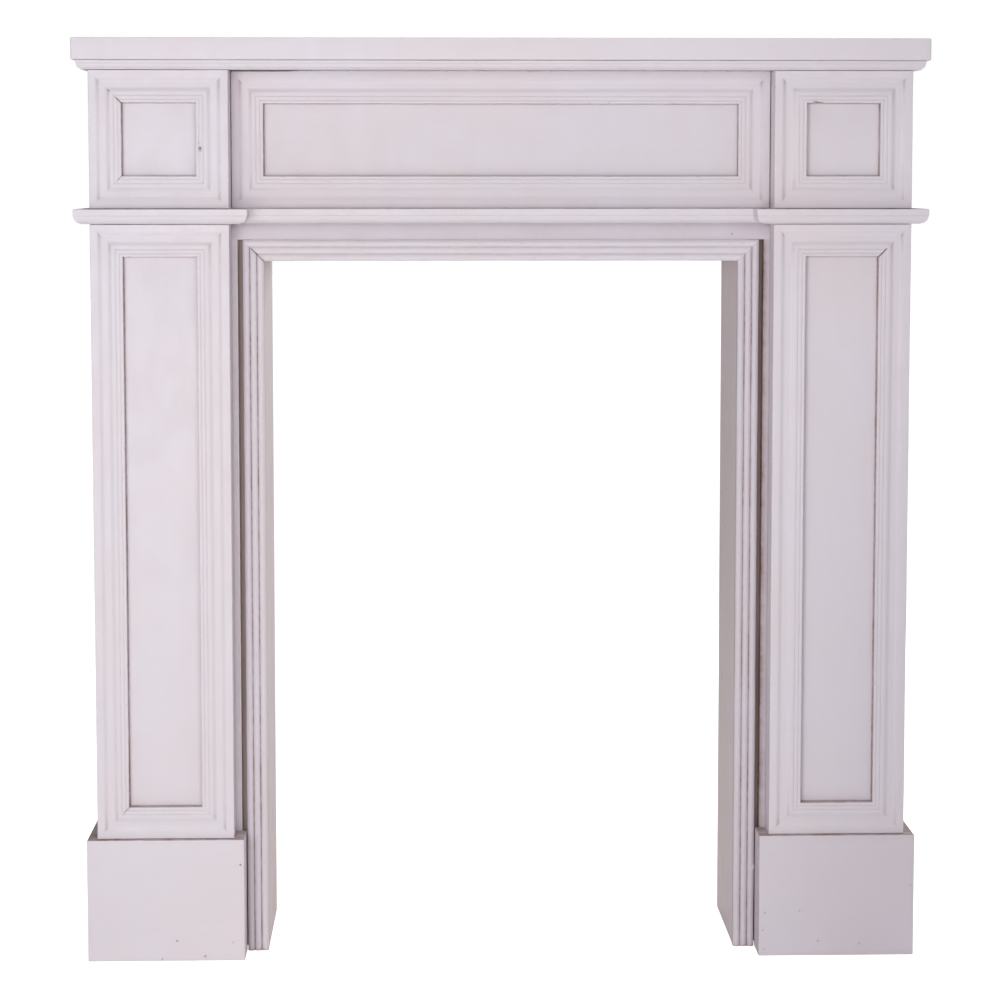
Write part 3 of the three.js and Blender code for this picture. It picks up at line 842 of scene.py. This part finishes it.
def bare_marks(primer, points, low, high, edge):
    """Sawn timber that nobody painted, under as much dusty primer as its share says."""
    return {"crevice": 0.05 + 0.15 * edge, "bare": 1.0, "dull": primer}


def meet_above(points, low, high):
    """The top edge moved up to the board above, so that paint bridges the joint."""
    gap = corners("fascia_board")[0][2] - high[2] - CLOSED_GAP
    points[:, 2] += gap * np.exp(-(high[2] - points[:, 2]) / 0.2)
    return points


for hand, side in HANDS:
    board(f"{hand}_jamb_lining", partial(lining_marks, side), 0.9, slot="painted_boards")
    strip_lines = side * (CHANNEL + np.array([1.0, 2.5, 4.0, 7.0, 10.0]))
    board(f"{hand}_leg_board", partial(leg_board_marks, side), 0.15, (strip_lines, (), ()),
          reshape=meet_above)
    board(f"{hand}_outer_side", partial(outer_side_marks, side), 1.0)
    board(f"{hand}_inner_side", partial(inner_side_marks, side), 0.8)
    board(f"{hand}_leg_batten", partial(bare_marks, 1.0), 0.8, slot="bare_timber")
board("head_lining", head_lining_marks, 0.9, slot="painted_boards")
fascia_spot = (318.0, 1001.5, 1.1, 0.8, 0.9)
corner_lines = [s * np.array([340.0, 350.0, 358.0, 364.0, 367.5, 370.0]) for s in (-1, 1)]
across = np.concatenate([*corner_lines, fascia_spot[0] + HOLE_RINGS])
up = np.concatenate([fascia_spot[1] + HOLE_RINGS, [1014.0, 1011.0, 1008.0, 1004.0]])
board("fascia_board", fascia_marks, 0.1, (across, (), up), dents=[fascia_spot])
board("frieze_backboard", partial(bare_marks, 0.2), 0.8, slot="bare_timber")
print("pieces in all:", len(painted))

# %% [markdown]
# Old paint is not one colour. The effects that several finishes share are node groups, each built
# once: brush marks that follow the run, soft patches, the brown and the painted shade that lie in
# hollows and corners, and the grain of bare timber. Each gives out masks, colours or heights, and
# the shader itself stays in the material.

# %% Node helpers


def feed(tree, socket, value):
    """Links an input to the socket that feeds it, or sets it to a value."""
    if isinstance(value, bpy.types.NodeSocket):
        tree.links.new(value, socket)
    else:
        socket.default_value = value


def add(tree, kind, inputs=None, **settings):
    """A node with its settings; an input may be a value or the socket that feeds it."""
    node = tree.nodes.new(kind)
    for name, value in settings.items():
        setattr(node, name, value)
    for name, value in (inputs or {}).items():
        feed(tree, node.inputs[name], value)
    return node


def math_node(tree, operation, first, second, clamp):
    """A Math node's answer to two values."""
    inputs = {0: first, 1: second}
    return add(tree, "ShaderNodeMath", inputs, operation=operation, use_clamp=clamp).outputs[0]


def plus(tree, first, second, clamp=False):
    """The sum of two values."""
    return math_node(tree, "ADD", first, second, clamp)


def times(tree, first, second, clamp=False):
    """The product of two values."""
    return math_node(tree, "MULTIPLY", first, second, clamp)


def between(tree, value, start, end, low=0.0, high=1.0):
    """Eases a value from start..end to low..high."""
    inputs = {"Value": value, "From Min": start, "From Max": end, "To Min": low, "To Max": high}
    return add(tree, "ShaderNodeMapRange", inputs, interpolation_type="SMOOTHSTEP").outputs["Result"]


def blend(tree, share, first, second):
    """Mixes two colours by a share."""
    return add(tree, "ShaderNodeMix", {0: share, 6: first, 7: second}, data_type="RGBA").outputs[2]


def noise(tree, vector, scale, detail=3.0, rough=0.5):
    """A noise texture's value."""
    inputs = {"Vector": vector, "Scale": scale, "Detail": detail, "Roughness": rough}
    return add(tree, "ShaderNodeTexNoise", inputs).outputs[0]


def stretched(tree, vector, factors):
    """The vector with each part multiplied, which draws a pattern out along one way."""
    return add(tree, "ShaderNodeVectorMath", {0: vector, 1: factors}, operation="MULTIPLY").outputs[0]


def new_group(name, inputs, outputs):
    """An empty node group with named sockets, each of them (name, kind)."""
    tree = bpy.data.node_groups.new(name, "ShaderNodeTree")
    for way, sockets in (("INPUT", inputs), ("OUTPUT", outputs)):
        for label, kind in sockets:
            tree.interface.new_socket(label, in_out=way, socket_type="NodeSocket" + kind)
    return tree, tree.nodes.new("NodeGroupInput").outputs, tree.nodes.new("NodeGroupOutput").inputs


# %% Shared effects


def build_brush_marks():
    """Fine lines drawn out along the run, thirty times longer than wide, over softer wider ones."""
    tree, given, out = new_group("brush_marks", [("Run", "Vector")], [("Marks", "Float")])
    fine = noise(tree, stretched(tree, given["Run"], (22.0, 800.0, 40.0)), 1.0, 2.0)
    broad = noise(tree, stretched(tree, given["Run"], (9.0, 170.0, 40.0)), 1.0, 2.0)
    feed(tree, out["Marks"], plus(tree, times(tree, fine, 0.5), times(tree, broad, 0.5)))
    return tree


def build_patches():
    """Cloudy patches of two sizes and fine specks, in the object's own space."""
    outputs = [("Wide", "Float"), ("Small", "Float"), ("Specks", "Float")]
    tree, given, out = new_group("soft_patches", [("Place", "Vector")], outputs)
    place = stretched(tree, given["Place"], (1.0, 1.0, 0.7))
    feed(tree, out["Wide"], between(tree, noise(tree, place, 5.5, 4.0, 0.55), 0.36, 0.66))
    feed(tree, out["Small"], between(tree, noise(tree, place, 38.0, 4.0, 0.6), 0.38, 0.68))
    feed(tree, out["Specks"], between(tree, noise(tree, place, 420.0, 2.0, 0.6), 0.70, 0.78))
    return tree


def build_hollow_brown():
    """How much brown and painted shade shows: the mark for them, broken up by noise so that no line is
    even.
    """
    inputs = [("Crevice", "Float"), ("Place", "Vector")]
    tree, given, out = new_group("hollow_brown", inputs, [("Mask", "Float")])
    torn = between(tree, noise(tree, given["Place"], 90.0, 4.0, 0.65), 0.3, 0.7, 0.7, 1.2)
    long = between(tree, noise(tree, given["Place"], 14.0, 3.0, 0.5), 0.3, 0.7, 0.75, 1.2)
    feed(tree, out["Mask"], times(tree, times(tree, given["Crevice"], torn), long, clamp=True))
    return tree


def build_timber():
    """Softwood: pale and dark year rings drawn out along the run, with fine pores."""
    outputs = [("Color", "Color"), ("Height", "Float")]
    tree, given, out = new_group("softwood", [("Run", "Vector")], outputs)
    rings = noise(tree, stretched(tree, given["Run"], (3.0, 85.0, 30.0)), 1.0, 3.0, 0.55)
    pores = noise(tree, stretched(tree, given["Run"], (40.0, 1600.0, 30.0)), 1.0, 2.0)
    wood = blend(tree, between(tree, rings, 0.35, 0.65), (0.36, 0.25, 0.18, 1), (0.54, 0.42, 0.33, 1))
    dark = between(tree, pores, 0.52, 0.75, 0.0, 0.35)
    feed(tree, out["Color"], blend(tree, dark, wood, (0.19, 0.12, 0.075, 1)))
    feed(tree, out["Height"], plus(tree, times(tree, rings, 0.6), times(tree, pores, 0.4)))
    return tree


brush_marks = build_brush_marks()
soft_patches = build_patches()
hollow_brown = build_hollow_brown()
softwood = build_timber()
print("shared effects:", [tree.name for tree in bpy.data.node_groups])

# %% [markdown]
# The paint is an off-white with a breath of lavender, brushed on in several coats. Over it come
# faint warm patches, then grey painted shade where its mark says and brown, with painted shade in
# hollows and corners, where its mark says, then edges rubbed thin. Where the bare mark is set the
# timber shows instead. The boards round the opening take the same recipe, duller.

# %% Paint and timber
# BROWN is the brown of glaze and dirt, and also stands in for painted shade in hollows and corners
BROWN = (0.24, 0.118, 0.08, 1)
BROWN_SHARE = 0.85
# GREY is painted shade, where the light falls off and in shadowed places
GREY = (0.515, 0.465, 0.54, 1)
RUBBED = (0.42, 0.34, 0.30, 1)
PRIMER = (0.74, 0.59, 0.55, 1)


def new_material(name):
    """A material, its nodes and the inputs of its shader."""
    material = bpy.data.materials.new(name)
    material.use_nodes = True
    return material, material.node_tree, material.node_tree.nodes["Principled BSDF"].inputs


def mark(tree, name, output="Fac"):
    """What the points of the mesh keep under this name."""
    node = add(tree, "ShaderNodeAttribute", attribute_name=name, attribute_type="GEOMETRY")
    return node.outputs[output]


def effect(tree, group, inputs):
    """One of the shared effects, placed in a material."""
    return add(tree, "ShaderNodeGroup", inputs, node_tree=group).outputs


def weathered(tree):
    """What every finish needs: run, place, patches, brown and painted shade in the hollows, and softwood.
    """
    run = mark(tree, "run", "Vector")
    place = add(tree, "ShaderNodeTexCoord").outputs["Object"]
    patch = effect(tree, soft_patches, {"Place": place})
    brown = effect(tree, hollow_brown, {"Crevice": mark(tree, "crevice"), "Place": place})["Mask"]
    return run, place, patch, brown, effect(tree, softwood, {"Run": run})


def relief(tree, height, strength, distance):
    """A Bump node's normal."""
    inputs = {"Height": height, "Strength": strength, "Distance": distance}
    return add(tree, "ShaderNodeBump", inputs).outputs["Normal"]


def paint(name, colour, warm, dull):
    """Brushed paint: warm patches, grey painted shade, brown and painted shade in hollows, worn edges,
    timber where bare.
    """
    material, tree, shader = new_material(name)
    run, place, patch, brown, wood = weathered(tree)
    brush = effect(tree, brush_marks, {"Run": run})["Marks"]
    body = blend(tree, times(tree, patch["Wide"], 0.55), colour, warm)
    body = blend(tree, times(tree, patch["Small"], 0.15), body, warm)
    body = blend(tree, between(tree, brush, 0.35, 0.65, 0.0, 0.10), body, dull)
    body = blend(tree, times(tree, patch["Specks"], 0.12), body, dull)
    # grey painted shade, where the light falls off and in shadowed places
    body = blend(tree, mark(tree, "dull"), body, GREY)
    # brown, and painted shade, in hollows and corners
    body = blend(tree, times(tree, brown, BROWN_SHARE), body, BROWN)
    rub = noise(tree, place, 130.0, 4.0, 0.7)
    thin = between(tree, rub, 0.52, 0.7, 0.0, 0.45)
    body = blend(tree, times(tree, mark(tree, "worn"), thin), body, RUBBED)
    ragged = plus(tree, mark(tree, "bare"), between(tree, rub, 0.0, 1.0, -0.25, 0.25))
    bare = between(tree, ragged, 0.45, 0.6)
    feed(tree, shader["Base Color"], blend(tree, bare, body, wood["Color"]))
    gloss = plus(tree, between(tree, patch["Small"], 0.0, 1.0, 0.46, 0.60), times(tree, brown, 0.25))
    feed(tree, shader["Roughness"], plus(tree, gloss, times(tree, bare, 0.3), clamp=True))
    height = plus(tree, brush, times(tree, wood["Height"], bare))
    feed(tree, shader["Normal"], relief(tree, height, 0.22, 0.0003))
    return material


def bare_timber(name):
    """Softwood under a thin, dusty coat of primer, as much of it as the dull mark says."""
    material, tree, shader = new_material(name)
    run, place, patch, brown, wood = weathered(tree)
    primer = times(tree, between(tree, patch["Wide"], 0.0, 1.0, 0.7, 0.95), mark(tree, "dull"))
    body = blend(tree, primer, wood["Color"], PRIMER)
    feed(tree, shader["Base Color"], blend(tree, brown, body, BROWN))
    feed(tree, shader["Roughness"], between(tree, patch["Small"], 0.0, 1.0, 0.74, 0.9))
    feed(tree, shader["Normal"], relief(tree, wood["Height"], 0.5, 0.0005))
    return material


timber_paint = ((0.795, 0.75, 0.82, 1), (0.80, 0.72, 0.745, 1), (0.72, 0.665, 0.71, 1))
boards_paint = ((0.775, 0.70, 0.73, 1), (0.76, 0.665, 0.67, 1), (0.66, 0.58, 0.60, 1))
finishes = {
    "painted_timber": paint("painted_timber", *timber_paint),
    "painted_boards": paint("painted_boards", *boards_paint),
    "bare_timber": bare_timber("bare_timber"),
}
for piece, slot in painted:
    piece.data.materials.append(finishes[slot])
print("finishes:", list(finishes))

# %% [markdown]
# A pale floor, a little light all round, a large soft light low in front at the left, a weaker one
# higher at the right, one overhead for the shelf and the ledges, one behind that reaches through
# the opening, and a camera with a long lens a few metres in front, which keeps uprights upright.

# %% Floor, light and camera
FLOOR_HALF = 25.0
floor_mesh = bpy.data.meshes.new("studio_floor")
floor_corners = [(x * FLOOR_HALF, y * FLOOR_HALF, 0.0) for x, y in ((-1, -1), (1, -1), (1, 1), (-1, 1))]
floor_mesh.from_pydata(floor_corners, [], [(0, 1, 2, 3)])
floor = bpy.data.objects.new("studio_floor", floor_mesh)
bpy.context.scene.collection.objects.link(floor)
floor_material, floor_tree, floor_shader = new_material("studio_floor")
floor_noise = noise(floor_tree, add(floor_tree, "ShaderNodeTexCoord").outputs["Object"], 3.0)
floor_colour = blend(floor_tree, floor_noise, (0.90, 0.90, 0.90, 1), (0.92, 0.92, 0.92, 1))
floor_seen = add(floor_tree, "ShaderNodeLightPath").outputs["Is Camera Ray"]
feed(floor_tree, floor_shader["Base Color"], floor_colour)
feed(floor_tree, floor_shader["Roughness"], 0.9)
feed(floor_tree, floor_shader["Emission Color"], (1, 1, 1, 1))
feed(floor_tree, floor_shader["Emission Strength"], between(floor_tree, floor_seen, 0.0, 1.0, 0.03, 0.9))
floor_mesh.materials.append(floor_material)

scene = bpy.context.scene
world = bpy.data.worlds.new("studio")
scene.world = world
world.use_nodes = True
sky = world.node_tree
sky_shader = sky.nodes["Background"].inputs
seen = add(sky, "ShaderNodeLightPath").outputs["Is Camera Ray"]
feed(sky, sky_shader["Strength"], between(sky, seen, 0.0, 1.0, 0.255, 1.02))
feed(sky, sky_shader["Color"], blend(sky, seen, (1.0, 0.955, 0.94, 1), (1, 1, 1, 1)))


def soft_light(name, place, aim, size, power):
    """A square soft light at a place, turned to face its aim."""
    light = bpy.data.lights.new(name, "AREA")
    light.shape = "SQUARE"
    light.size = size
    light.energy = power
    lamp = bpy.data.objects.new(name, light)
    way = np.array(aim, float) - np.array(place, float)
    flat = math.hypot(way[0], way[1])
    lamp.location = place
    lamp.rotation_euler = (math.atan2(flat, -way[2]), 0, math.atan2(-way[0], way[1]))
    scene.collection.objects.link(lamp)


soft_light("left_light", (-0.95, -2.9, 0.85), (-0.3, 0.0, 0.7), 1.4, 33.5)
soft_light("right_light", (0.75, -3.0, 1.35), (0.2, 0.0, 0.8), 1.4, 12.0)
soft_light("overhead_light", (0.0, -0.2, 3.1), (0.0, 0.0, 1.2), 1.6, 18.0)
soft_light("fill_through_opening", (1.7, 1.9, 1.1), (-0.3, 0.0, 0.5), 1.4, 30.0)

CAMERA_PLACE = (-0.10626, -3.61119, 1.08)
CAMERA_TURN = 0.02939
CAMERA_TILT = 0.08256
FOCAL_PIXELS = 2577.3
FRAME_PIXELS = 1000
SENSOR = 36.0
SHIFT_UP = -0.11
camera_data = bpy.data.cameras.new("camera")
camera_data.sensor_width = SENSOR
camera_data.lens = FOCAL_PIXELS * SENSOR / FRAME_PIXELS
camera_data.shift_y = SHIFT_UP
camera = bpy.data.objects.new("camera", camera_data)
camera.location = CAMERA_PLACE
camera.rotation_euler = (math.pi / 2 - CAMERA_TILT, 0, -CAMERA_TURN)
scene.collection.objects.link(camera)
scene.camera = camera
scene.view_settings.view_transform = "Standard"
print("lens", round(camera_data.lens, 1), "mm, camera at", CAMERA_PLACE)
